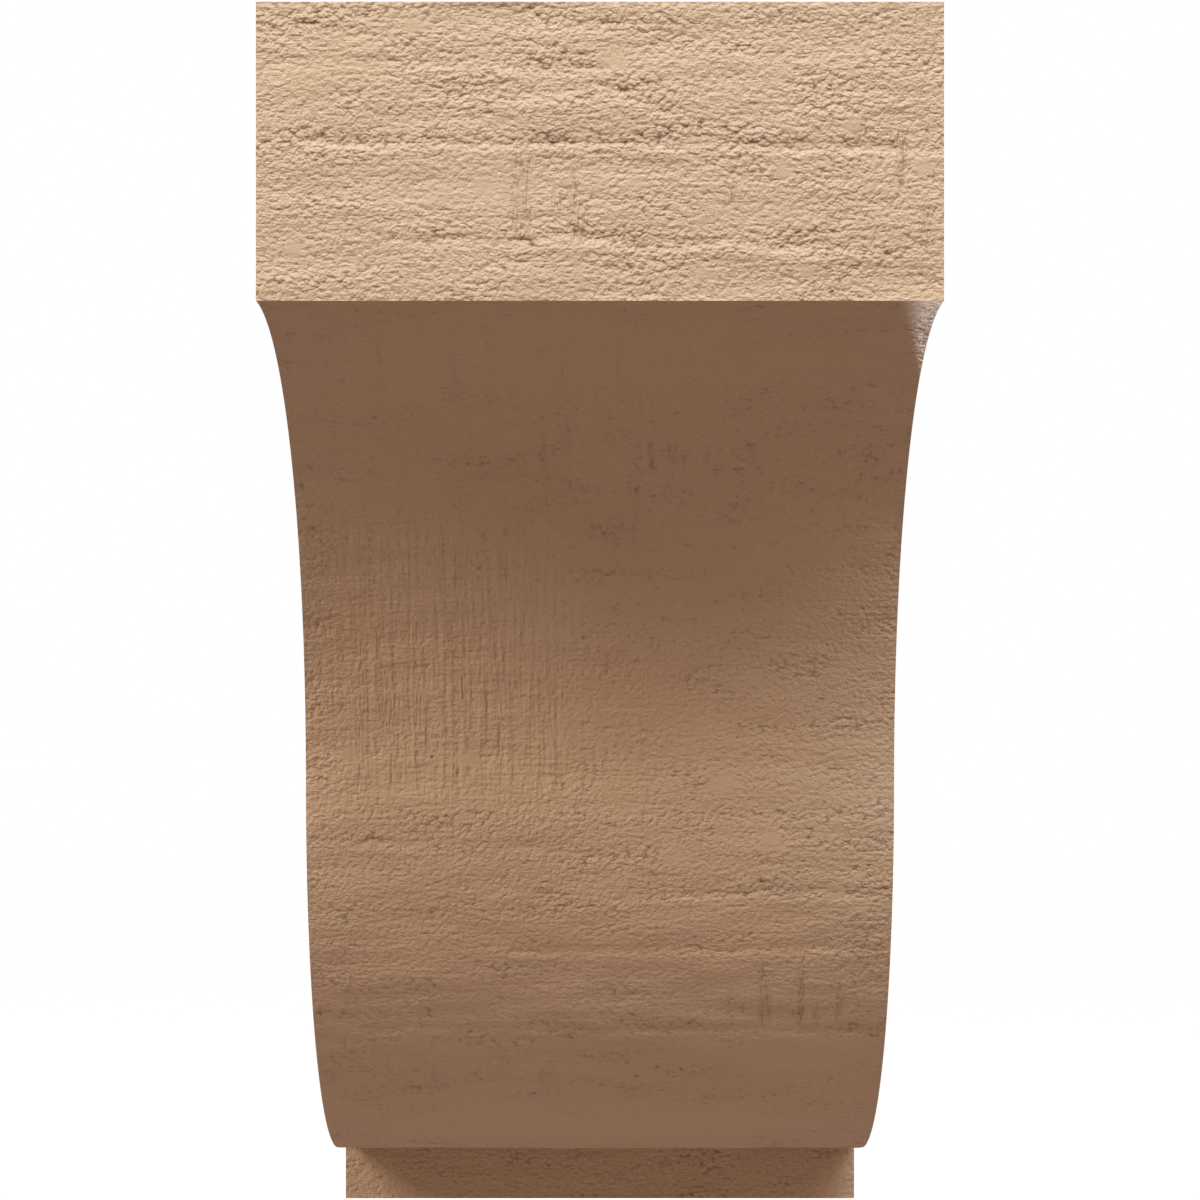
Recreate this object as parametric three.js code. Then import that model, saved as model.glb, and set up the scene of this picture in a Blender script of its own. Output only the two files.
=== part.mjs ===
import * as THREE from 'three';

// Urethane corbel with an S-shaped front, in millimetres, +Z up.
// It is cast in one piece. The front faces -Y, and the flat back, which goes against the wall,
// lies in the plane y = 0 with the origin at its centre.

// Driving dimensions
const WIDTH = 152.4; // side to side, the same from the cap down to the foot
const HEIGHT = 304.8; // underside of the foot to the top of the cap
const DEPTH = 304.8; // wall to the front of the cap
const CAP_HEIGHT = 66.2; // plain block that the shelf or beam rests on
const FOOT_HEIGHT = 18.0; // small block below the curve
const FOOT_DEPTH = 75.0; // wall to the front of the foot
const FOOT_SETBACK = 9.2; // end of the curve back to the front of the foot
const EDGE_CHAMFER = 0.5; // easing that the mould leaves on every outer edge

// Each quarter of the S-curve is drawn with twice this many chords.
const CURVE_SEGMENTS = 15;

// The S-curve fills what the cap and the foot leave, half of it hollow and half of it full.
const TOP = HEIGHT / 2;
const BOTTOM = -HEIGHT / 2;
const CAP_UNDERSIDE = TOP - CAP_HEIGHT;
const BODY_UNDERSIDE = BOTTOM + FOOT_HEIGHT;
const CURVE_END_DEPTH = FOOT_DEPTH + FOOT_SETBACK;
const ARC_DEPTH = (DEPTH - CURVE_END_DEPTH) / 2;
const ARC_HEIGHT = (CAP_UNDERSIDE - BODY_UNDERSIDE) / 2;
const CURVE_MIDDLE = BODY_UNDERSIDE + ARC_HEIGHT;

const urethane = new THREE.MeshStandardMaterial({ color: '#be9b7a', roughness: 0.7, metalness: 0 });

// Cuts a square outer corner of the outline. The outline comes in along one unit direction and
// leaves along the other.
function chamferedCorner(outline, depth, height, arriving, leaving) {
  outline.lineTo(depth - arriving[0] * EDGE_CHAMFER, height - arriving[1] * EDGE_CHAMFER);
  outline.lineTo(depth + leaving[0] * EDGE_CHAMFER, height + leaving[1] * EDGE_CHAMFER);
}

// Side view of the corbel: x is the distance from the wall and y is the height, anticlockwise.
function sideOutline() {
  const outward = [1, 0];
  const inward = [-1, 0];
  const up = [0, 1];
  const down = [0, -1];
  const outline = new THREE.Shape();
  outline.moveTo(0, 0);
  chamferedCorner(outline, 0, BOTTOM, down, outward);
  chamferedCorner(outline, FOOT_DEPTH, BOTTOM, outward, up);
  outline.lineTo(FOOT_DEPTH, BODY_UNDERSIDE);
  outline.lineTo(CURVE_END_DEPTH, BODY_UNDERSIDE);

  // Full quarter: level where it leaves the underside, upright at the middle of the curve.
  outline.absellipse(CURVE_END_DEPTH, CURVE_MIDDLE, ARC_DEPTH, ARC_HEIGHT, -Math.PI / 2, 0, false);

  // Hollow quarter: upright at the middle, level under the front edge of the cap.
  const chamferAngle = Math.asin(EDGE_CHAMFER / ARC_DEPTH);
  const hollowEnd = Math.PI / 2 + chamferAngle;
  outline.absellipse(DEPTH, CURVE_MIDDLE, ARC_DEPTH, ARC_HEIGHT, Math.PI, hollowEnd, true);
  outline.lineTo(DEPTH, CAP_UNDERSIDE + EDGE_CHAMFER);

  chamferedCorner(outline, DEPTH, TOP, up, inward);
  chamferedCorner(outline, 0, TOP, inward, down);
  return outline;
}

// The side view pushed sideways across the width, with both long edges of the outline eased.
function corbel() {
  const geometry = new THREE.ExtrudeGeometry(sideOutline(), {
    depth: WIDTH - 2 * EDGE_CHAMFER,
    steps: 1,
    curveSegments: CURVE_SEGMENTS,
    bevelEnabled: true,
    bevelThickness: EDGE_CHAMFER,
    bevelSize: EDGE_CHAMFER,
    bevelOffset: -EDGE_CHAMFER,
    bevelSegments: 1,
  });
  geometry.translate(0, 0, EDGE_CHAMFER - WIDTH / 2);

  // Distance from the wall turns to -Y, height to +Z and the width to X.
  const fromWall = new THREE.Vector3(0, -1, 0);
  const upward = new THREE.Vector3(0, 0, 1);
  const sideways = new THREE.Vector3(-1, 0, 0);
  geometry.applyMatrix4(new THREE.Matrix4().makeBasis(fromWall, upward, sideways));

  const mesh = new THREE.Mesh(geometry, urethane);
  mesh.name = 'corbel';
  return mesh;
}

const part = new THREE.Group();
part.add(corbel());

export default part;
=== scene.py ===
# %% [markdown]
# # A cast urethane corbel
# The object is a wall bracket of rigid urethane foam, cast in one piece and primed tan. It has a
# square cap, an S-curved front and a small foot, and its faces copy rough-sawn wood. This lesson
# bends a grid into the casting, carves the larger saw marks into the mesh and leaves the finest
# grain to the material.

# %% Load the solid
import math

import bmesh
import bpy
import numpy as np
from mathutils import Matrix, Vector


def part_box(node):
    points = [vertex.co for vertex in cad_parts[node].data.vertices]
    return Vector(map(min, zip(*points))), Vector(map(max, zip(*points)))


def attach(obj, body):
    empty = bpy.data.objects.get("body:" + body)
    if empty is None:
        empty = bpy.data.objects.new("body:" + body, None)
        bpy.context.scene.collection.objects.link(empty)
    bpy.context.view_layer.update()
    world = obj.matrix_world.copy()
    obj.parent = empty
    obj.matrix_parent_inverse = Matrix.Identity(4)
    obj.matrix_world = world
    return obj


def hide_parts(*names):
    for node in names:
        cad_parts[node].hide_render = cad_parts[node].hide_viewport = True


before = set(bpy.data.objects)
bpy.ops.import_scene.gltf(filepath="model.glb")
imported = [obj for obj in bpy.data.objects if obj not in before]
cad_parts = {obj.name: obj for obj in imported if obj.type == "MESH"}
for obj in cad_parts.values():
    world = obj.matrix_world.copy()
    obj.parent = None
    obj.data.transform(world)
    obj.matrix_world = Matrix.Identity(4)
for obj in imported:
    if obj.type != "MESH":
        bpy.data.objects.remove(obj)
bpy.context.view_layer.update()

MM = 0.001
solid_low, solid_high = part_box("corbel")
print("solid size in mm:", [round(side / MM, 1) for side in solid_high - solid_low])

# %% [markdown]
# ## Sizes
# The overall sizes come from the solid, so the visible casting always fits it. The heights of the
# cap and the foot, and the two steps of the foot, are sizes of their own. What they leave is shared
# by two quarter arcs: a hollow one under the cap and a full one above the foot.

# %% Sizes of the casting
CAP_HEIGHT = 66.2 * MM
FOOT_HEIGHT = 18.0 * MM
FOOT_DEPTH = 75.0 * MM
FOOT_SETBACK = 9.2 * MM

WIDTH = solid_high.x - solid_low.x
FRONT = solid_low.y
WALL = solid_high.y
TOP = solid_high.z
BOTTOM = solid_low.z

cap_underside = TOP - CAP_HEIGHT
body_underside = BOTTOM + FOOT_HEIGHT
foot_front = WALL - FOOT_DEPTH
curve_end = foot_front - FOOT_SETBACK
arc_depth = (curve_end - FRONT) / 2
arc_height = (cap_underside - body_underside) / 2
curve_middle = body_underside + arc_height
print("quarter arcs in mm:", round(arc_depth / MM, 1), "deep,", round(arc_height / MM, 1), "high")

# %% [markdown]
# ## One helper for node trees
# A node tree written out by hand is hard to read. This function adds one node, sets its settings,
# and fills its inputs with either plain values or the outputs of other nodes.

# %% Add a node
def add(tree, kind, inputs=None, **settings):
    """Add a node to a tree. Inputs go by name or number, settings by name."""
    node = tree.nodes.new(kind)
    for name, value in settings.items():
        setattr(node, name, value)
    for name, value in (inputs or {}).items():
        if isinstance(value, bpy.types.NodeSocket):
            tree.links.new(value, node.inputs[name])
        else:
            node.inputs[name].default_value = value
    return node


# %% [markdown]
# ## The casting as a bent box
# The real casting is one solid. Its back and sides are flat, and its front runs down the cap, round
# the S-curve and down the foot. Pushing the side profile out to the width would make that shape,
# but then each side would be one face with no points to carve. A box primitive is closed and has
# even rows and columns everywhere, so here the front face of a box is laid along the profile. Each
# row of the grid takes its depth and height from one point of the profile, and runs back from there
# to the wall. Geometry Nodes suit this, because the profile is a rule: lines and two arcs.

# %% Inputs of the tree
tree = bpy.data.node_groups.new("corbel_body", "GeometryNodeTree")
INPUTS = {
    "Cap Top Corner": "NodeSocketVector",
    "Cap Lower Corner": "NodeSocketVector",
    "Hollow Centre": "NodeSocketVector",
    "Full Centre": "NodeSocketVector",
    "Arc Size": "NodeSocketVector",
    "Curve End": "NodeSocketVector",
    "Foot Top Corner": "NodeSocketVector",
    "Foot Lower Corner": "NodeSocketVector",
    "Wall Top": "NodeSocketVector",
    "Wall Bottom": "NodeSocketVector",
    "Width": "NodeSocketFloat",
    "Row Spacing": "NodeSocketFloat",
    "Columns": "NodeSocketInt",
    "Layers": "NodeSocketInt",
    "Material": "NodeSocketMaterial",
}
socket_ids = {}
for name, kind in INPUTS.items():
    socket = tree.interface.new_socket(name, in_out="INPUT", socket_type=kind)
    socket_ids[name] = socket.identifier
tree.interface.new_socket("Geometry", in_out="OUTPUT", socket_type="NodeSocketGeometry")
given = add(tree, "NodeGroupInput").outputs
print("tree takes", len(socket_ids), "inputs")

# %% The profile, drawn with lines and arcs
QUARTER_TURN = math.pi / 2
ARC_POINTS = 90
UPRIGHT = (QUARTER_TURN, 0, QUARTER_TURN)  # turns the XY plane into the YZ plane
WELD = 0.01 * MM

profile = add(tree, "GeometryNodeJoinGeometry")
pieces = [
    add(tree, "GeometryNodeCurvePrimitiveLine",
        {"Start": given["Foot Top Corner"], "End": given["Foot Lower Corner"]}),
    add(tree, "GeometryNodeCurvePrimitiveLine",
        {"Start": given["Curve End"], "End": given["Foot Top Corner"]}),
]
for centre, start, sweep in [
    ("Full Centre", 2 * QUARTER_TURN, QUARTER_TURN),
    ("Hollow Centre", QUARTER_TURN, -QUARTER_TURN),
]:
    arc = add(tree, "GeometryNodeCurveArc", {
        "Resolution": ARC_POINTS, "Radius": 1.0, "Start Angle": start, "Sweep Angle": sweep})
    pieces.append(add(tree, "GeometryNodeTransform", {
        "Geometry": arc.outputs["Curve"], "Translation": given[centre],
        "Rotation": UPRIGHT, "Scale": given["Arc Size"]}))
pieces.append(add(tree, "GeometryNodeCurvePrimitiveLine",
                  {"Start": given["Cap Top Corner"], "End": given["Cap Lower Corner"]}))
for piece in pieces:  # the piece linked last is the first one of the joined profile
    tree.links.new(piece.outputs[0], profile.inputs[0])

stepped = add(tree, "GeometryNodeResampleCurve",
              {"Curve": profile.outputs[0], "Length": given["Row Spacing"]}, mode="LENGTH")
wire = add(tree, "GeometryNodeCurveToMesh", {"Curve": stepped.outputs[0]})
rail = add(tree, "GeometryNodeMergeByDistance",
           {"Geometry": wire.outputs[0], "Distance": WELD}).outputs[0]
print("profile made of", len(pieces), "lines and arcs")

# %% A box with as many rows as the profile has points
rows = add(tree, "GeometryNodeAttributeDomainSize", {"Geometry": rail}).outputs["Point Count"]
box = add(tree, "GeometryNodeMeshCube", {
    "Size": (1, 1, 1), "Vertices X": given["Columns"], "Vertices Y": given["Layers"],
    "Vertices Z": rows}).outputs["Mesh"]
corner = add(tree, "ShaderNodeVectorMath", {
    0: add(tree, "GeometryNodeInputPosition").outputs[0], 1: (0.5, 0.5, 0.5)}, operation="ADD")
share = add(tree, "ShaderNodeSeparateXYZ", {0: corner.outputs[0]}).outputs
down = add(tree, "ShaderNodeMath", {0: 1.0, 1: share["Z"]}, operation="SUBTRACT").outputs[0]
grid = add(tree, "ShaderNodeCombineXYZ",
           {"X": share["X"], "Y": share["Y"], "Z": down}).outputs[0]

last_row = add(tree, "ShaderNodeMath", {0: rows, 1: 1.0}, operation="SUBTRACT").outputs[0]
row_share = add(tree, "ShaderNodeMath", {0: down, 1: last_row}, operation="MULTIPLY").outputs[0]
row = add(tree, "ShaderNodeMath", {0: row_share}, operation="ROUND").outputs[0]
on_profile = add(tree, "GeometryNodeSampleIndex", {
    "Geometry": rail, "Value": add(tree, "GeometryNodeInputPosition").outputs[0], "Index": row},
    data_type="FLOAT_VECTOR").outputs[0]
print("box and profile take", len(tree.nodes), "nodes")

# %% The box, bent to the profile
# Rows fan out from the profile to the wall. These powers keep the rows clear of the level
# stretches of the curve and make the layers finer near the front.
FAN = 1.6
LAYER_GROWTH = 1.25

fan = add(tree, "ShaderNodeMath", {0: down, 1: FAN}, operation="POWER").outputs[0]
wall_point = add(tree, "ShaderNodeMix", {0: fan, 4: given["Wall Top"], 5: given["Wall Bottom"]},
                 data_type="VECTOR").outputs[1]
inset = add(tree, "ShaderNodeMath",
            {0: share["Y"], 1: LAYER_GROWTH}, operation="POWER").outputs[0]
in_plane = add(tree, "ShaderNodeMix", {0: inset, 4: on_profile, 5: wall_point},
               data_type="VECTOR").outputs[1]
half = add(tree, "ShaderNodeMath", {0: share["X"], 1: 0.5}, operation="SUBTRACT").outputs[0]
offset = add(tree, "ShaderNodeMath", {0: half, 1: given["Width"]}, operation="MULTIPLY").outputs[0]
sideways = add(tree, "ShaderNodeCombineXYZ", {"X": offset}).outputs[0]
moved = add(tree, "ShaderNodeVectorMath", {0: in_plane, 1: sideways}, operation="ADD").outputs[0]

labelled = add(tree, "GeometryNodeStoreNamedAttribute", {
    "Geometry": box, "Name": "grid", "Value": grid}, data_type="FLOAT_VECTOR", domain="POINT")
bent = add(tree, "GeometryNodeSetPosition", {"Geometry": labelled.outputs[0], "Position": moved})
real = add(tree, "GeometryNodeRealizeInstances", {0: bent.outputs[0]})
coated = add(tree, "GeometryNodeSetMaterial",
             {"Geometry": real.outputs[0], "Material": given["Material"]})
add(tree, "NodeGroupOutput", {0: coated.outputs[0]})
print("tree has", len(tree.nodes), "nodes")

# %% Make the plain mesh
COLUMNS = 128  # 1.2 mm apart across the front
LAYERS = 34  # from the front to the wall
ROW_SPACING = 1.06 * MM

cast_urethane = bpy.data.materials.new("cast_urethane_tan_primer")
casting = bpy.data.objects.new("corbel_casting", bpy.data.meshes.new("corbel_casting"))
bpy.context.scene.collection.objects.link(casting)
bend = casting.modifiers.new("bent_box", "NODES")
bend.node_group = tree
for name, value in {
    "Cap Top Corner": (0, FRONT, TOP),
    "Cap Lower Corner": (0, FRONT, cap_underside),
    "Hollow Centre": (0, FRONT, curve_middle),
    "Full Centre": (0, curve_end, curve_middle),
    "Arc Size": (arc_depth, arc_height, 1),
    "Curve End": (0, curve_end, body_underside),
    "Foot Top Corner": (0, foot_front, body_underside),
    "Foot Lower Corner": (0, foot_front, BOTTOM),
    "Wall Top": (0, WALL, TOP),
    "Wall Bottom": (0, WALL, BOTTOM),
    "Width": WIDTH,
    "Row Spacing": ROW_SPACING,
    "Columns": COLUMNS,
    "Layers": LAYERS,
    "Material": cast_urethane,
}.items():
    bend[socket_ids[name]] = value
evaluated = casting.evaluated_get(bpy.context.evaluated_depsgraph_get())
casting.data = bpy.data.meshes.new_from_object(evaluated)
casting.modifiers.remove(bend)
casting.data.name = "corbel_casting"
print("bent box:", len(casting.data.vertices), "points,", len(casting.data.polygons), "faces")

# %% [markdown]
# ## The back
# The back of the real casting lies on the wall, so it is flat. It carries no relief, so its fine
# grid would only add faces. It is taken out and closed again with one flat face, which keeps the
# casting watertight.

# %% Close the back with one flat face
EDGE = 1e-5
SHARP = math.radians(50)

shape = bmesh.new()
shape.from_mesh(casting.data)
grid_layer = shape.verts.layers.float_vector["grid"]
at_wall = [f for f in shape.faces if all(v[grid_layer].y > 1 - EDGE for v in f.verts)]
bmesh.ops.delete(shape, geom=at_wall, context="FACES")
rim = [e for e in shape.edges if e.is_boundary]
back = bmesh.ops.edgeloop_fill(shape, edges=rim)["faces"]
for face in shape.faces:
    face.smooth = True
    face.material_index = 0
for face in back:
    face.smooth = False
bmesh.ops.recalc_face_normals(shape, faces=shape.faces)
for edge in shape.edges:
    edge.smooth = edge.calc_face_angle(0) < SHARP
shape.to_mesh(casting.data)
shape.free()
casting.data.materials.clear()
casting.data.materials.append(cast_urethane)
print("back closed with", len(back), "face, whose rim has", len(rim), "edges")

# %% [markdown]
# ## Where each point lies
# The carving below has to know on which face of the casting each point lies, and how far it is
# along the profile. Both follow from the grid that the tree stored, so nothing has to be guessed
# from normals or angles. Arrays hold all the points at once, which is far quicker than a loop.

# %% Read the grid into arrays
mesh = casting.data
count = len(mesh.vertices)


def point_values(source, field):
    """Three numbers for each point of the mesh, as rows of an array."""
    flat = np.zeros(count * 3, np.float32)
    source.foreach_get(field, flat)
    return flat.reshape(-1, 3)


at = point_values(mesh.vertices, "co").astype(float)
cell = point_values(mesh.attributes["grid"].data, "vector")
outward = point_values(mesh.vertex_normals, "vector").astype(float)
x, y, z = at.T

on_front = cell[:, 1] < EDGE
on_wall = cell[:, 1] > 1 - EDGE
on_left = cell[:, 0] < EDGE
on_right = cell[:, 0] > 1 - EDGE
on_top = cell[:, 2] < EDGE
on_bottom = cell[:, 2] > 1 - EDGE
on_side = on_left | on_right
print(count, "points,", int(on_front.sum()), "of them on the front")

# %% Measure along the profile
rail_points = at[on_front & on_left]
rail_share = cell[on_front & on_left][:, 2]
order = np.argsort(rail_share)
rail_points, rail_share = rail_points[order], rail_share[order]
steps = np.linalg.norm(np.diff(rail_points, axis=0), axis=1)
rail_length = np.concatenate([[0], np.cumsum(steps)])
along = np.interp(cell[:, 2], rail_share, rail_length)
print("profile is", round(rail_length[-1] / MM, 1), "mm long in", len(rail_length), "rows")

# %% [markdown]
# ## The grain's own map
# On the real casting the sawn grain follows each face, round the curve too. Object coordinates
# would smear it where the curve turns away from them, so the casting gets a flat map in metres. Its
# first number runs along the grain and its second across it. Each face of the box has a stretch of
# the map to itself, so that no two faces show the same grain.

# %% Map each face in metres
MAP_STEP = 1.0
REGIONS = [
    ("back", on_wall, x, z),
    ("front", on_front, x, along),
    ("left", on_left, y, z),
    ("right", on_right, y, z),
    ("top", on_top, x, y),
    ("bottom", on_bottom, x, y),
]
loops = np.zeros(len(mesh.loops), np.int32)
mesh.loops.foreach_get("vertex_index", loops)
first_loop = np.zeros(len(mesh.polygons), np.int32)
mesh.polygons.foreach_get("loop_start", first_loop)
face_of_loop = np.repeat(np.arange(len(first_loop)), np.diff(np.append(first_loop, len(loops))))

grain_map = np.zeros((len(loops), 2))
for number, (name, members, with_grain, across_grain) in enumerate(REGIONS):
    whole = np.minimum.reduceat(members[loops].astype(np.int8), first_loop)[face_of_loop] > 0
    grain_map[whole, 0] = with_grain[loops[whole]]
    grain_map[whole, 1] = across_grain[loops[whole]] + number * MAP_STEP
    print(name, "has", int(whole.sum()), "face corners")
layer = mesh.uv_layers.new(name="grain_map")
layer.uv.foreach_set("vector", grain_map.astype(np.float32).ravel())

# %% [markdown]
# ## Relief in the mesh
# The mould was taken from rough-sawn boards, so the real surface has slow waves, lumps, torn seams
# that run with the grain and short marks of the saw across it. Sculpting by hand or a displacement
# texture could make them. Here everything wider than about three millimetres is carved by moving
# the points in code, because code can place a seam to the millimetre and gives the same relief each
# time. The waves come first: smooth noise on a seeded lattice, stretched along the grain.

# %% Smooth noise on a lattice
LATTICE = 256
NOISE_GAIN = 1.5


def noise(u, v, seed):
    """Smooth noise from about -1 to 1, one wave to about two units of u and v."""
    turns = np.random.default_rng(seed).uniform(0, 2 * math.pi, (LATTICE, LATTICE))
    cell_u, cell_v = np.floor(u).astype(int), np.floor(v).astype(int)
    part_u, part_v = u - cell_u, v - cell_v

    def slope(step_u, step_v):
        turn = turns[(cell_u + step_u) % LATTICE, (cell_v + step_v) % LATTICE]
        return np.cos(turn) * (part_u - step_u) + np.sin(turn) * (part_v - step_v)

    ease_u, ease_v = (t * t * t * (t * (6 * t - 15) + 10) for t in (part_u, part_v))
    near = slope(0, 0) * (1 - ease_u) + slope(1, 0) * ease_u
    far = slope(0, 1) * (1 - ease_u) + slope(1, 1) * ease_u
    return NOISE_GAIN * (near * (1 - ease_v) + far * ease_v)


def line_noise(u, seed, row=0.5):
    """The same noise along one row of the lattice."""
    return noise(u, u * 0 + row, seed)


def ease(value, low, high):
    """0 below low, 1 above high, and a smooth step between them."""
    t = np.clip((value - low) / (high - low), 0, 1)
    return t * t * (3 - 2 * t)


def between(value, low, high, soft):
    """1 between low and high, falling to 0 over a soft edge on both sides."""
    return ease(value, low - soft, low + soft) * (1 - ease(value, high - soft, high + soft))


sample = line_noise(along / MM, 1)
print("noise from", round(sample.min(), 2), "to", round(sample.max(), 2))

# %% Waves and lumps
# Each wave has a length with the grain and across it, in mm, and a strength. That is a height in
# mm, but bend only shifts the lines, and rough says where the lines and lumps are strong.
WAVES = {
    "swell": (46, 15, 0.32),
    "ripple": (19, 5.4, 0.26),
    "bend": (12, 8, 0.9),
    "lines": (6.5, 2.3, 0.11),
    "lumps": (3.6, 2.4, 0.12),
    "rough": (20, 6, 1.0),
}
ROUGH_FROM = -0.25
ROUGH_TO = 0.55
CALM_SHARE = 0.35  # how much of the lines and lumps is left where the board is calm


def sawn_waves(u, v, seed):
    """Height in mm of the waves, and how rough each point is, u with the grain and v across it."""
    def wave(name, bent=0.0):
        long_mm, wide_mm, high_mm = WAVES[name]
        number = list(WAVES).index(name)
        return high_mm * noise(u / long_mm + bent, v / wide_mm + bent, seed + number)

    slow = wave("swell") + wave("ripple")
    lines = wave("lines", wave("bend"))
    rough = ease(wave("rough"), ROUGH_FROM, ROUGH_TO)
    return slow + (lines + wave("lumps")) * (CALM_SHARE + (1 - CALM_SHARE) * rough), rough


print(len(WAVES), "waves")

# %% [markdown]
# ## Torn seams
# A seam is where the saw tore a line of fibres out: a broken groove with a raised lip below it.
# Chance never groups seams as a real board does, so they are placed one by one, in millimetres from
# the middle of the casting. Noise only makes them wander and break.

# %% Seams of the front
# Each has a left end, a right end, its height at the left and at the right end, and a depth. A
# negative depth is a raised one.
SEAMS = [
    (-66, 76, 121.8, 120.2, 0.66), (-46, 46, 99.4, 98.6, 0.54), (-66, -50, 149.9, 149.4, 0.30),
    (-20, 6, 148.6, 147.2, 0.30), (-42, 74, 133.2, 132.2, 0.16), (44, 76, 98.0, 97.0, 0.26),
    (-40, -8, 54.8, 54.0, 0.34), (15, 56, 53.4, 49.6, 0.28), (-8, 38, 5.8, 5.0, 0.28),
    (-56, -8, -3.4, -4.0, 0.22), (6, 31, -18.7, -19.4, 0.24), (15, 76, -33.0, -32.2, 0.22),
    (-64, -8, -40.0, -40.8, 0.34), (-8, 10, -43.2, -43.4, 0.30), (-38, -23, -51.7, -51.9, 0.22),
    (9, 76, -53.4, -53.0, 0.36), (-23, 76, -68.2, -67.6, 0.30), (-68, 76, -90.2, -91.0, 0.26),
    (-67, -44, -108.4, -108.8, 0.34), (-58, 2, 138.9, 138.0, 0.24), (-59, -4, 132.4, 130.8, 0.30),
    (0, 25, 134.0, 124.5, 0.34), (20, 46, 146.0, 136.0, 0.26), (-72, -42, 141.8, 140.4, -0.28),
    (-72, -38, 107.2, 105.4, -0.24), (-12, 30, 88.6, 88.2, 0.22), (-70, -50, 149.0, 143.4, 0.28),
    (40, 70, 130.0, 127.0, 0.28),
]
SEAM_WIDTH = 0.9
SEAM_END = 4  # mm over which a seam runs out
SEAM_SWAYS = [(14, 0.8, 60), (4, 0.5, 90)]  # length and reach in mm, and first seed
LIP = 0.45  # height of the lip as a share of the groove's depth
TEAR_LENGTH, TEAR_SEED, TEAR_ROW = 6, 120, 3.5
TORN_FROM, TORN_TO = -0.5, 0.2
WHOLE_SHARE = 0.45  # depth that is left where the seam isn't torn
NEAR_SHARE = 0.3
NEAR_ABOVE = 0.8
NEAR_REACH = 2.4
NEAR_FULL = 0.5  # mm of depth that makes the grain beside a seam fully rough


def seams(u, height):
    """Depth in mm of the torn seams, and how near each point is to one."""
    depth, near = np.zeros_like(u), np.zeros_like(u)
    for number, (left, right, left_height, right_height, deep) in enumerate(SEAMS):
        level = np.interp(u, [left, right], [left_height, right_height])
        for length, reach, seed in SEAM_SWAYS:
            level = level + reach * line_noise(u / length, seed + number)
        off = height - level
        inside = deep * between(u, left, right, SEAM_END)
        tear = line_noise(u / TEAR_LENGTH, TEAR_SEED + number, TEAR_ROW)
        torn = ease(tear, TORN_FROM, TORN_TO)
        groove = np.exp(-((off / SEAM_WIDTH) ** 2))
        lip = np.exp(-(((off + 2 * SEAM_WIDTH) / SEAM_WIDTH) ** 2))
        depth += inside * (WHOLE_SHARE + (1 - WHOLE_SHARE) * torn) * (groove - LIP * lip)
        beside = np.exp(-(((off - NEAR_ABOVE) / NEAR_REACH) ** 2))
        near = np.maximum(near, inside * (NEAR_SHARE + (1 - NEAR_SHARE) * torn) * beside)
    return depth, near / NEAR_FULL


print(len(SEAMS), "seams")

# %% [markdown]
# ## Saw marks, rubbed spots and upright ridges
# A saw tooth that stood out left short upright marks. In small spots the mould was filled and
# rubbed down smooth. A slow saw left patches of fine upright ridges. Marks and ridges are too
# narrow for the mesh, so most of their depth is left to the material: the mesh only stores where
# they are. As with the seams, each one is placed.

# %% Saw marks of the front
# Each has its distance from the middle, its upper end, its lower end and a strength.
SAW_MARKS = [
    (-18.4, 119.6, 100, 0.8), (-16.2, 117, 100, 0.7), (-9.5, 112, 100, 0.5), (-5.8, 116, 100, 0.9),
    (-3.4, 108, 100, 0.6), (29.7, 112, 108, 0.8), (66.8, 123, 111, 1.0), (72.4, 106, 98, 0.9),
    (-52, 82, 72, 0.4), (-35, 80, 68, 0.4), (-26, 84, 74, 0.3), (-9, 82, 70, 0.3), (4, 84, 74, 0.3),
    (-14, 63, 56, 0.7), (-8, 65, 58, 0.5), (13, 62, 54, 0.9), (18, 61, 56, 0.9), (21, 60, 56, 0.7),
    (26, 60, 56, 0.6), (37, 61, 57, 0.5), (-19, 60, 20, 0.3), (9.1, 62, 34, 0.3),
    (-35.8, 36, -2, 0.4), (-62, 12, -28, 0.4), (-54, 4, -24, 0.4), (-47, 18, -12, 0.4),
    (-26, 10, -22, 0.4), (-12, 8, -16, 0.3), (35, -80, -90, 0.5), (42.8, -72, -90, 0.8),
    (44.5, -78, -90, 0.7), (53.3, -72, -90, 1.0), (57, -82, -90, 0.6), (63.2, -77, -89, 0.7),
    (-45, -102, -108, 0.6), (-16, -102, -108, 0.7), (-13, -100, -107, 0.5),
]
MARK_WIDTH = 1.0
MARK_END = 2  # mm over which a mark runs out
MARK_SWAY, MARK_SWAY_LENGTH, MARK_SEED = 0.5, 9, 150


def saw_marks(u, height):
    """How much each point lies in a saw mark."""
    marked = np.zeros_like(u)
    for number, (middle, upper, lower, strength) in enumerate(SAW_MARKS):
        off = u - middle - MARK_SWAY * line_noise(height / MARK_SWAY_LENGTH, MARK_SEED + number)
        inside = between(height, lower, upper, MARK_END)
        marked = np.maximum(marked, strength * inside * np.exp(-((off / MARK_WIDTH) ** 2)))
    return marked


print(len(SAW_MARKS), "saw marks")

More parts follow.
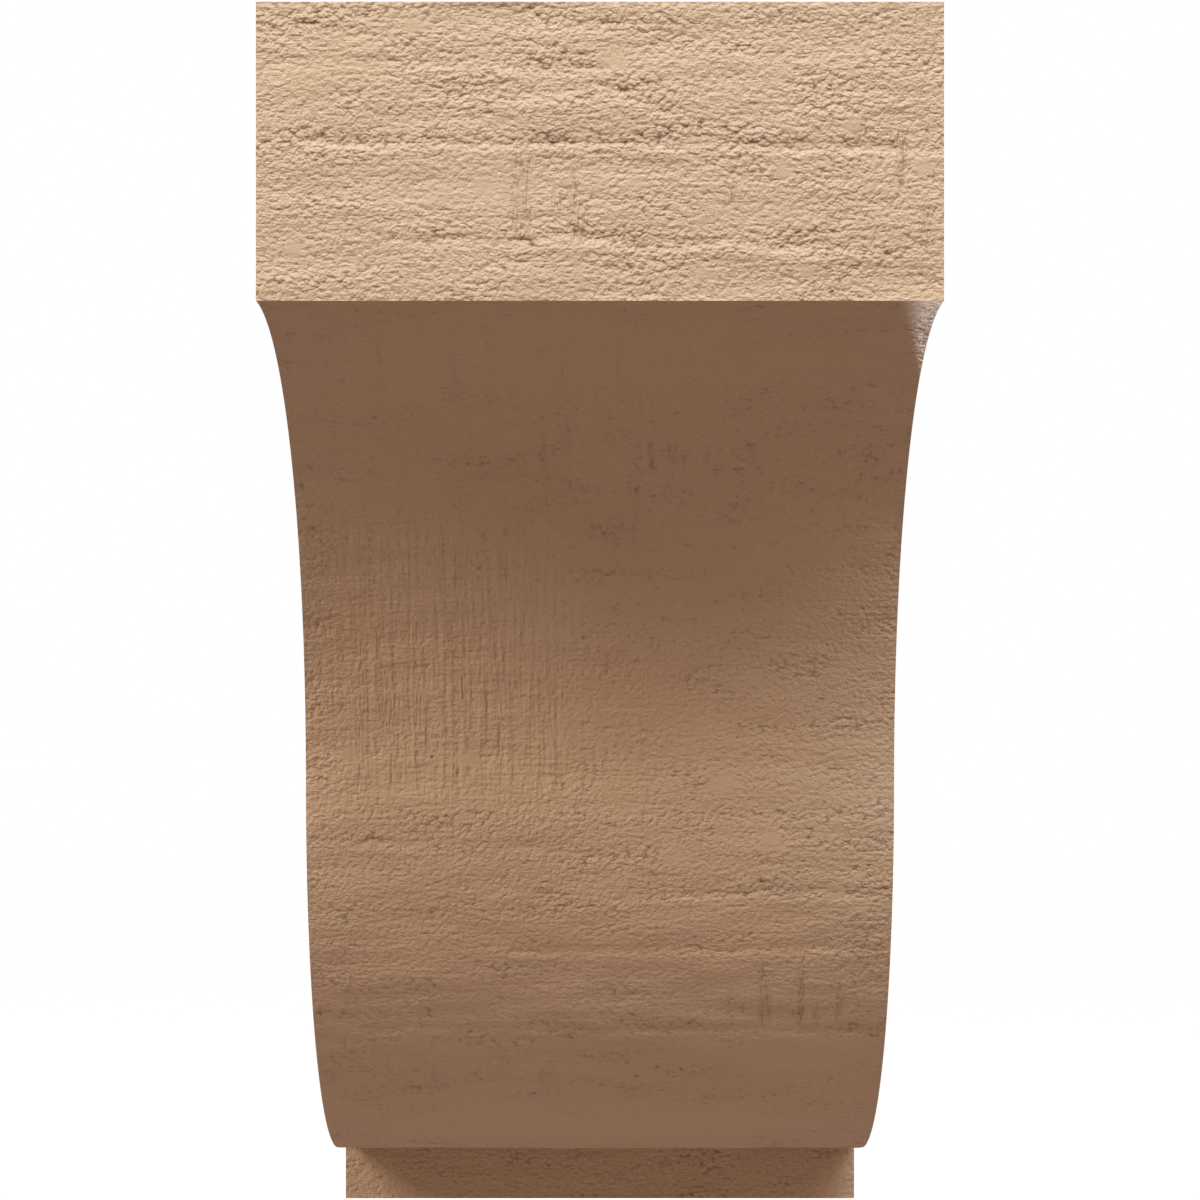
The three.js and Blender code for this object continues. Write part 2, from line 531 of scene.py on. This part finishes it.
# %% Rubbed spots and sawn patches of the front
# A spot has its distance from the middle, its height, half its length, half its height, and how
# smooth it is. A patch has its left, right, upper and lower end, and a strength.
SMOOTH = [
    (-41.2, 147.1, 3.0, 1.8, 1.0), (-26.1, 111.6, 2.6, 2.0, 1.0), (-68, 97.2, 2.6, 2.2, 1.0),
    (2.4, 139.3, 3.0, 1.8, 1.0), (55.4, 124.9, 2.6, 1.8, 1.0), (40.8, 114.9, 2.4, 2.0, 1.0),
    (72, 116, 2.4, 2.2, 1.0), (7.8, 112.3, 2.4, 1.8, 0.9), (22.4, 92.8, 2.4, 1.8, 0.9),
    (46, 92.8, 2.6, 1.8, 1.0), (-46.6, -1.3, 2.6, 2.2, 0.9), (-34, -17.9, 2.8, 2.0, 0.9),
    (-31.3, -51.5, 2.6, 2.0, 0.9), (-64.5, -16.6, 2.6, 2.4, 0.9), (31.8, -24.5, 4.0, 3.0, 0.9),
    (44.3, -38.3, 3.2, 2.2, 0.9), (20.6, -43, 4.5, 3.0, 0.8), (61.6, -52.3, 2.8, 2.0, 0.9),
    (-60, 136, 13, 6, 0.5), (-34, 112, 24, 6, 0.6), (-38, 96, 20, 4, 0.4), (0, 89, 70, 3, 0.3),
    (38, 106, 26, 4, 0.4), (-60, 142, 12, 4, 0.3), (12, -8, 26, 9, 0.5), (-56, -46, 12, 6, 0.4),
    (30, -60, 26, 4, 0.5), (4, -70, 20, 8, 0.5), (50, -98, 30, 7, 0.6), (0, -120, 70, 8, 0.6),
    (0, 78, 76, 7, 0.5), (40, 30, 34, 16, 0.4),
]
SAWN_PATCHES = [
    (-67, -6, 46, -28, 1.0), (-24, -2, 119, 99, 0.5), (-72, 30, 84, 42, 0.5),
    (30, 66, -74, -90, 0.5),
]
SPOT_EDGE = (0.6, 1.3)  # shares of a spot's size between which it fades
PATCH_SIDE, PATCH_END = 6, 7  # mm over which a patch fades


def smooth_patches(u, height):
    """How smooth each point is rubbed."""
    smooth = np.zeros_like(u)
    for middle, level, half_length, half_height, much in SMOOTH:
        reach = np.hypot((u - middle) / half_length, (height - level) / half_height)
        smooth = np.maximum(smooth, much * (1 - ease(reach, *SPOT_EDGE)))
    return smooth


def sawn_patches(u, height):
    """How much each point shows the upright ridges of the saw."""
    sawn = np.zeros_like(u)
    for left, right, upper, lower, strength in SAWN_PATCHES:
        inside = between(u, left, right, PATCH_SIDE) * between(height, lower, upper, PATCH_END)
        sawn = np.maximum(sawn, strength * inside)
    return sawn


print(len(SMOOTH), "rubbed spots and", len(SAWN_PATCHES), "sawn patches")

# %% [markdown]
# ## Carving
# Now the relief can be added up. It dies out towards every edge, because the real edges are
# straight and crisp, and so that neighbouring faces still meet there. The front has all of it. The
# sides, the top and the underside carry waves of their own, and the back stays flat. How strong the
# fine grain is at each point is stored on the mesh for the material to read.

# %% How far each point is from the edges
corner_lengths = np.array([0, TOP - cap_underside, rail_length[-1]]) / MM
from_corner = np.abs(along[:, None] / MM - corner_lengths).min(axis=1)
from_side = (WIDTH / 2 - np.abs(x)) / MM
from_wall = (WALL - y) / MM
profile_at = np.stack([np.interp(along, rail_length, rail_points[:, k]) for k in (1, 2)], 1)
from_front = np.linalg.norm(at[:, 1:] - profile_at, axis=1) / MM
from_rim = np.minimum(from_side, np.minimum(from_front, from_wall))
print("furthest point from an edge:", round(from_rim.max(), 1), "mm")

# %% Relief of the front
FADE = 1.6  # mm from an edge over which the relief dies out
WAVES_RUBBED = 0.4  # share of the waves that rubbing takes away
MARK_DEPTH = 0.12  # mm, the part of a saw mark that the mesh can show
CRINKLE_PLAIN, CRINKLE_ROUGH, CRINKLE_SEAM = 0.25, 0.85, 0.8
CRINKLE_RUBBED, CRINKLE_RIBBED = 0.9, 0.6
EVEN_RUBBED, EVEN_RIBBED = 0.8, 0.3

relief = np.zeros(count)
masks = {name: np.zeros(count) for name in ("even", "crinkle", "sawn", "marked")}
masks["even"][:] = 1

across_mm, height_mm = x / MM, z / MM
waves, rough = sawn_waves(across_mm, along / MM, 10)
groove, near_seam = seams(across_mm, height_mm)
smooth = smooth_patches(across_mm, height_mm)
marks = saw_marks(across_mm, height_mm)
ribbed = sawn_patches(across_mm, height_mm)

carved = waves * (1 - WAVES_RUBBED * smooth) - groove - MARK_DEPTH * marks
crinkled = CRINKLE_PLAIN + CRINKLE_ROUGH * rough + CRINKLE_SEAM * near_seam
for values, front_values in [
    (relief, carved * ease(np.minimum(from_side, from_corner), 0, FADE)),
    (masks["crinkle"], crinkled * (1 - CRINKLE_RUBBED * smooth) * (1 - CRINKLE_RIBBED * ribbed)),
    (masks["even"], (1 - EVEN_RUBBED * smooth ** 2) * (1 - EVEN_RIBBED * ribbed)),
    (masks["sawn"], ribbed * (1 - smooth)),
    (masks["marked"], marks),
]:
    values[on_front] = front_values[on_front]
print("front relief from", round(relief.min(), 2), "to", round(relief.max(), 2), "mm")

# %% Relief of the other faces
SIDE_FADE = 4.0
SIDE_CRINKLE = 0.4  # crinkle of a calm point; a rough one has 1
TOP_CRINKLE = 1.7  # the top is taken as coarser sawn
BACK_CRINKLE = 0.2
RIDGE_PATCH = (60, 40)  # mm with the grain and across it
RIDGE_EDGE = (0.1, 0.5)
RIDGE_SEED = 6  # added to the seed of the face

to_front_or_wall = np.minimum(from_front, from_wall)
for members, u, v, inside, coarse, seed in [
    (on_left, y, z, to_front_or_wall, 1.0, 20),
    (on_right, y, z, to_front_or_wall, 1.0, 30),
    (on_top, x, y, from_rim, TOP_CRINKLE, 40),
    (on_bottom, x, y, from_rim, 1.0, 50),
]:
    chosen = members & ~on_front & ~on_wall
    waves, rough = sawn_waves(u / MM, v / MM, seed)
    ridge_noise = noise(u / MM / RIDGE_PATCH[0], v / MM / RIDGE_PATCH[1], seed + RIDGE_SEED)
    relief[chosen] = (waves * ease(inside, 0, SIDE_FADE))[chosen]
    masks["crinkle"][chosen] = (coarse * (SIDE_CRINKLE + (1 - SIDE_CRINKLE) * rough))[chosen]
    masks["sawn"][chosen] = ease(ridge_noise, *RIDGE_EDGE)[chosen]
masks["crinkle"][on_wall] = BACK_CRINKLE

# %% Move the points and store where the grain is strong
front_edges = on_front & (on_side | on_top | on_bottom)
relief[front_edges | (on_side & (on_top | on_bottom)) | on_wall] = 0

carved_at = at + outward * (relief * MM)[:, None]
mesh.vertices.foreach_set("co", carved_at.astype(np.float32).ravel())
for name, values in masks.items():
    attribute = mesh.attributes.new(name, "FLOAT", "POINT")
    attribute.data.foreach_set("value", values.astype(np.float32))
mesh.update()
print("relief from", round(relief.min(), 2), "to", round(relief.max(), 2), "mm")

# %% [markdown]
# ## The finish
# Cast urethane comes out of the mould with a tight skin that copies the finest saw grain, and is
# sprayed with a tan primer. The primer is thin and satin, so the grain stays crisp and only its
# crests shine a little. The deeper creases of the fine grain, and the pits, get a darker tan as
# painted shade.

# %% Colours
def colour(hex_value):
    """A linear colour from an sRGB hex value."""
    parts = [int(hex_value[k:k + 2], 16) / 255 for k in (1, 3, 5)]
    return tuple(p / 12.92 if p <= 0.04045 else ((p + 0.055) / 1.055) ** 2.4 for p in parts) + (1,)


TAN_PRIMER = colour("#c8af92")
TAN_WARM = colour("#c7aa8b")
# Painted shade: the darker tan laid into the deeper creases and pits of the fine grain.
TAN_CREASE_SHADE = colour("#967459")
print("primer in linear colour:", [round(part, 3) for part in TAN_PRIMER])

# %% [markdown]
# ## Fine grain
# Fine grain is too small for the mesh, so bump carries it. Lumps and sand are rounded cells with
# creases between them, as torn wood leaves. Grains and streaks are soft noise that lies with the
# grain. Ridges and scratches stand across it, where the saw left them, and the weave crosses the
# ridges. Each pattern is stretched to its size in millimetres. The real grit is finer than a
# picture element, so it's drawn about one millimetre coarse. The values stored at the mesh points
# say where each pattern is strong.

# %% Fine grain, as a height in millimetres
GRAIN = {
    # name: kind, length and height of one grain in mm, depth in mm, where it is strong
    "lumps": ("cells", 1.9, 1.65, 0.31, "crinkle"),
    "sand": ("cells", 1.4, 1.25, 0.15, "even"),
    "grains": ("noise", 1.5, 1.15, 0.38, "even"),
    "streaks": ("noise", 6.0, 1.2, 0.22, "even"),
    "ridges": ("noise", 1.9, 22.0, 0.56, "sawn"),
    "weave": ("noise", 16.0, 1.9, 0.34, "sawn"),
    "scratches": ("noise", 0.8, 6.0, 1.9, "marked"),
}
MIDDLE_LEVEL = 0.5  # what both kinds of pattern swing about
CELL_TOP = 0.8
NOISE_DETAIL = {"Detail": 2.0, "Roughness": 0.55}

cast_urethane.use_nodes = True
finish = cast_urethane.node_tree
finish.nodes.clear()
grain_uv = add(finish, "ShaderNodeUVMap", uv_map="grain_map").outputs["UV"]
strong = {name: add(finish, "ShaderNodeAttribute", attribute_name=name).outputs["Fac"]
          for name in masks}
height, patterns = 0.0, {}
for name, (kind, long_mm, high_mm, depth, mask) in GRAIN.items():
    scaled = add(finish, "ShaderNodeMapping", {
        "Vector": grain_uv, "Scale": (1 / (long_mm * MM), 1 / (high_mm * MM), 1)}).outputs[0]
    if kind == "cells":
        away = add(finish, "ShaderNodeTexVoronoi", {"Vector": scaled, "Scale": 1.0, "Detail": 1.0},
                   voronoi_dimensions="2D").outputs["Distance"]
        bowl = add(finish, "ShaderNodeMath", {0: away, 1: away}, operation="MULTIPLY").outputs[0]
        made = add(finish, "ShaderNodeMath", {0: CELL_TOP, 1: bowl}, operation="SUBTRACT").outputs[0]
    else:
        made = add(finish, "ShaderNodeTexNoise", {
            "Vector": scaled, "Scale": 1.0, **NOISE_DETAIL}, noise_dimensions="2D").outputs[0]
    patterns[name] = made
    level = add(finish, "ShaderNodeMath", {0: made, 1: MIDDLE_LEVEL}, operation="SUBTRACT").outputs[0]
    level = add(finish, "ShaderNodeMath", {0: level, 1: depth}, operation="MULTIPLY").outputs[0]
    level = add(finish, "ShaderNodeMath", {0: level, 1: strong[mask]}, operation="MULTIPLY").outputs[0]
    height = add(finish, "ShaderNodeMath", {0: level, 1: height}, operation="ADD").outputs[0]
print("grain made of", len(patterns), "patterns")

# %% Pits left by air bubbles
# Each has its distance from the middle and its height, in mm.
PITS = [(-46.5, 128.5), (-43.4, -17.4), (-36.9, -21.5), (-39.9, -32.7), (14.8, -62.1), (9.9, -104.8)]
PIT_WIDTH = 1.3
PIT_DEPTH = 0.5

object_place = add(finish, "ShaderNodeTexCoord").outputs["Object"]
pitted = 0.0
for pit_across, pit_height in PITS:
    pit_y = np.interp(-pit_height * MM, -rail_points[:, 2], rail_points[:, 1])
    away = add(finish, "ShaderNodeVectorMath", {
        0: object_place, 1: (pit_across * MM, pit_y, pit_height * MM)},
        operation="DISTANCE").outputs["Value"]
    inside_pit = add(finish, "ShaderNodeMapRange", {
        "Value": away, "From Min": 0.0, "From Max": PIT_WIDTH / 2 * MM,
        "To Min": 1.0, "To Max": 0.0}, interpolation_type="SMOOTHSTEP").outputs[0]
    pitted = add(finish, "ShaderNodeMath", {0: inside_pit, 1: pitted}, operation="MAXIMUM").outputs[0]
height = add(finish, "ShaderNodeMath", {0: pitted, 1: -PIT_DEPTH, 2: height},
             operation="MULTIPLY_ADD").outputs[0]
bump = add(finish, "ShaderNodeBump", {"Strength": 1.0, "Distance": MM, "Height": height}).outputs[0]
print(len(PITS), "pits")

# %% Cast urethane with a tan primer
MOTTLE_SIZE = 40 * MM
# The fine grain is painted with shade between these two depths in mm, darker the deeper it goes.
CREASE_SHADE_FROM, CREASE_SHADE_TO = -0.12, -0.7  # mm of depth over which the paint darkens
CREST_FROM, CREST_TO = 0.3, 0.7
DULL, SATIN = 0.62, 0.48
PAINT_IOR = 1.46

mottle = add(finish, "ShaderNodeTexNoise", {
    "Vector": grain_uv, "Scale": 1 / MOTTLE_SIZE, "Detail": 2.0}, noise_dimensions="2D").outputs[0]
warmth = add(finish, "ShaderNodeMix", {0: mottle, 6: TAN_PRIMER, 7: TAN_WARM}, data_type="RGBA")
# Painted shade: the deeper the fine grain or a pit, the more the tan turns to the darker crease shade.
deep = add(finish, "ShaderNodeMapRange", {
    "Value": height, "From Min": CREASE_SHADE_FROM, "From Max": CREASE_SHADE_TO,
    "To Min": 0.0, "To Max": 1.0}).outputs[0]
tan = add(finish, "ShaderNodeMix", {
    0: deep, 6: warmth.outputs[2], 7: TAN_CREASE_SHADE}, data_type="RGBA").outputs[2]
shine = add(finish, "ShaderNodeMapRange", {
    "Value": patterns["grains"], "From Min": CREST_FROM, "From Max": CREST_TO,
    "To Min": DULL, "To Max": SATIN})
skin = add(finish, "ShaderNodeBsdfPrincipled", {
    "Base Color": tan, "Roughness": shine.outputs[0], "IOR": PAINT_IOR, "Normal": bump})
add(finish, "ShaderNodeOutputMaterial", {"Surface": skin.outputs[0]})
print("finish has", len(finish.nodes), "nodes")

# %% [markdown]
# ## Camera
# The picture was taken square on, level with the middle of the casting, and then cropped, so the
# lens axis meets it below the middle. A tilted camera would make the sides lean. A shifted lens
# gives the view without a tilt.

# %% Place the camera
FRAME_SIZE = 1200
AXIS_ROW = 690  # picture row where the lens axis meets the object
FOCAL_LENGTH = 2929.5  # in picture pixels
CAMERA_DISTANCE = 648.7 * MM  # from the front of the cap
SENSOR = 36

lens = bpy.data.cameras.new("camera")
lens.sensor_width = SENSOR
lens.lens = FOCAL_LENGTH / FRAME_SIZE * SENSOR
lens.shift_y = (AXIS_ROW - FRAME_SIZE / 2) / FRAME_SIZE
camera = bpy.data.objects.new("camera", lens)
camera.location = (0, FRONT - CAMERA_DISTANCE, (TOP + BOTTOM) / 2)
camera.rotation_euler = (QUARTER_TURN, 0, 0)
bpy.context.scene.collection.objects.link(camera)
bpy.context.scene.camera = camera
print("lens", round(lens.lens, 1), "mm, shifted by", lens.shift_y)

# %% [markdown]
# ## Floor and light
# The floor lies well below the casting, as if that hung on a wall. Soft boxes stand high in front,
# to the left, the right and overhead, and two behind light the sides and the back. The cap shades
# the hollow below it, and warm light that comes up from the floor fills that shade. Two wide lamps
# on the floor give that light, so that it stays the same whatever the floor is painted. A small low
# lamp behind, narrowed to a beam, draws a glint on the right edge of the hollow.

# %% Floor
# The paint reflects little, since the lamps on the floor stand in for its bounce. The camera sees
# it pale, because it glows for the camera alone.
FLOOR_DROP = 250 * MM
FLOOR_SIZE = 12.0
FLOOR_GREY = 0.15
FLOOR_GLOW = 0.96
WHITE = (1, 1, 1, 1)

floor_level = BOTTOM - FLOOR_DROP
far = FLOOR_SIZE / 2
floor_corners = [(-far, -far), (far, -far), (far, far), (-far, far)]
floor_mesh = bpy.data.meshes.new("floor")
floor_mesh.from_pydata([(u, v, floor_level) for u, v in floor_corners], [], [(0, 1, 2, 3)])
floor = bpy.data.objects.new("floor", floor_mesh)
bpy.context.scene.collection.objects.link(floor)

pale_paint = bpy.data.materials.new("pale_floor_paint")
pale_paint.use_nodes = True
paint = pale_paint.node_tree
paint.nodes.clear()
to_camera = add(paint, "ShaderNodeLightPath").outputs["Is Camera Ray"]
matte = add(paint, "ShaderNodeBsdfDiffuse", {"Color": (FLOOR_GREY, FLOOR_GREY, FLOOR_GREY, 1)})
glow = add(paint, "ShaderNodeEmission", {"Color": WHITE, "Strength": FLOOR_GLOW})
bright = add(paint, "ShaderNodeAddShader", {0: matte.outputs[0], 1: glow.outputs[0]})
surface = add(paint, "ShaderNodeMixShader",
              {0: to_camera, 1: matte.outputs[0], 2: bright.outputs[0]})
add(paint, "ShaderNodeOutputMaterial", {"Surface": surface.outputs[0]})
floor_mesh.materials.append(pale_paint)
print("floor lies", round(FLOOR_DROP / MM), "mm below the casting")

# %% Lights
MIDDLE = (0, -0.2, 0)
BESIDE_HOLLOW = (0.1, -0.3, 0.085)
UP_NEAR = (0, -0.2, 1)
UP_FRONT = (0, -0.9, 1)
LIGHTS = [
    # name, place, aim, width in metres, spread in degrees, power in watts, colour
    ("key_left", (-0.993, -0.773, 0.803), MIDDLE, 0.55, 180, 13.4, (1.0, 0.895, 0.76)),
    ("key_right", (0.450, -0.979, 1.072), MIDDLE, 0.55, 180, 9.0, (0.81, 0.93, 1.0)),
    ("fill_right", (0.737, -1.079, 0.803), MIDDLE, 0.55, 180, 3.2, (1.0, 0.86, 0.75)),
    ("overhead", (0.0, -0.792, 1.269), MIDDLE, 0.55, 180, 9.8, (0.61, 0.82, 1.0)),
    ("back_left", (-0.8, 1.0, 0.8), MIDDLE, 0.55, 180, 7.0, (1.0, 0.9, 0.8)),
    ("back_right", (1.15, 0.6, 0.55), MIDDLE, 0.55, 180, 6.5, (1.0, 0.94, 0.88)),
    ("low_back", (0.14, 0.5, -0.33), BESIDE_HOLLOW, 0.06, 8, 0.007, (1.0, 0.98, 0.97)),
    ("bounce_near", (0.0, -0.2, -0.395), UP_NEAR, 0.8, 180, 0.5, (1.0, 0.613, 0.467)),
    ("bounce_front", (0.0, -0.9, -0.395), UP_FRONT, 0.8, 180, 1.05, (1.0, 0.59, 0.437)),
]
for name, place, aim, size, spread, power, tint in LIGHTS:
    lamp = bpy.data.lights.new(name, "AREA")
    lamp.shape = "SQUARE"
    lamp.size = size
    lamp.spread = math.radians(spread)
    lamp.energy = power
    lamp.color = tint
    holder = bpy.data.objects.new(name, lamp)
    holder.location = place
    backwards = Vector(place) - Vector(aim)
    holder.rotation_euler = backwards.to_track_quat("Z", "Y").to_euler()
    holder.visible_camera = False
    bpy.context.scene.collection.objects.link(holder)
print(len(LIGHTS), "lamps")

# %% The room around
# Dim warm light comes from all round, and the camera sees white.
ROOM_LIGHT = (0.312, 0.219, 0.185, 1)

world = bpy.data.worlds.new("studio")
bpy.context.scene.world = world
world.use_nodes = True
room = world.node_tree
room.nodes.clear()
to_camera = add(room, "ShaderNodeLightPath").outputs["Is Camera Ray"]
fill = add(room, "ShaderNodeBackground", {"Color": ROOM_LIGHT, "Strength": 1.0})
white = add(room, "ShaderNodeBackground", {"Color": WHITE, "Strength": 1.0})
both = add(room, "ShaderNodeMixShader", {0: to_camera, 1: fill.outputs[0], 2: white.outputs[0]})
add(room, "ShaderNodeOutputWorld", {"Surface": both.outputs[0]})
bpy.context.scene.view_settings.view_transform = "Standard"
print("room light:", ROOM_LIGHT[:3])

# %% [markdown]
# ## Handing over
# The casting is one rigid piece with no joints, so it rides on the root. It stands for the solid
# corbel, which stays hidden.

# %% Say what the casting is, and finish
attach(casting, "root")
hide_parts("corbel")
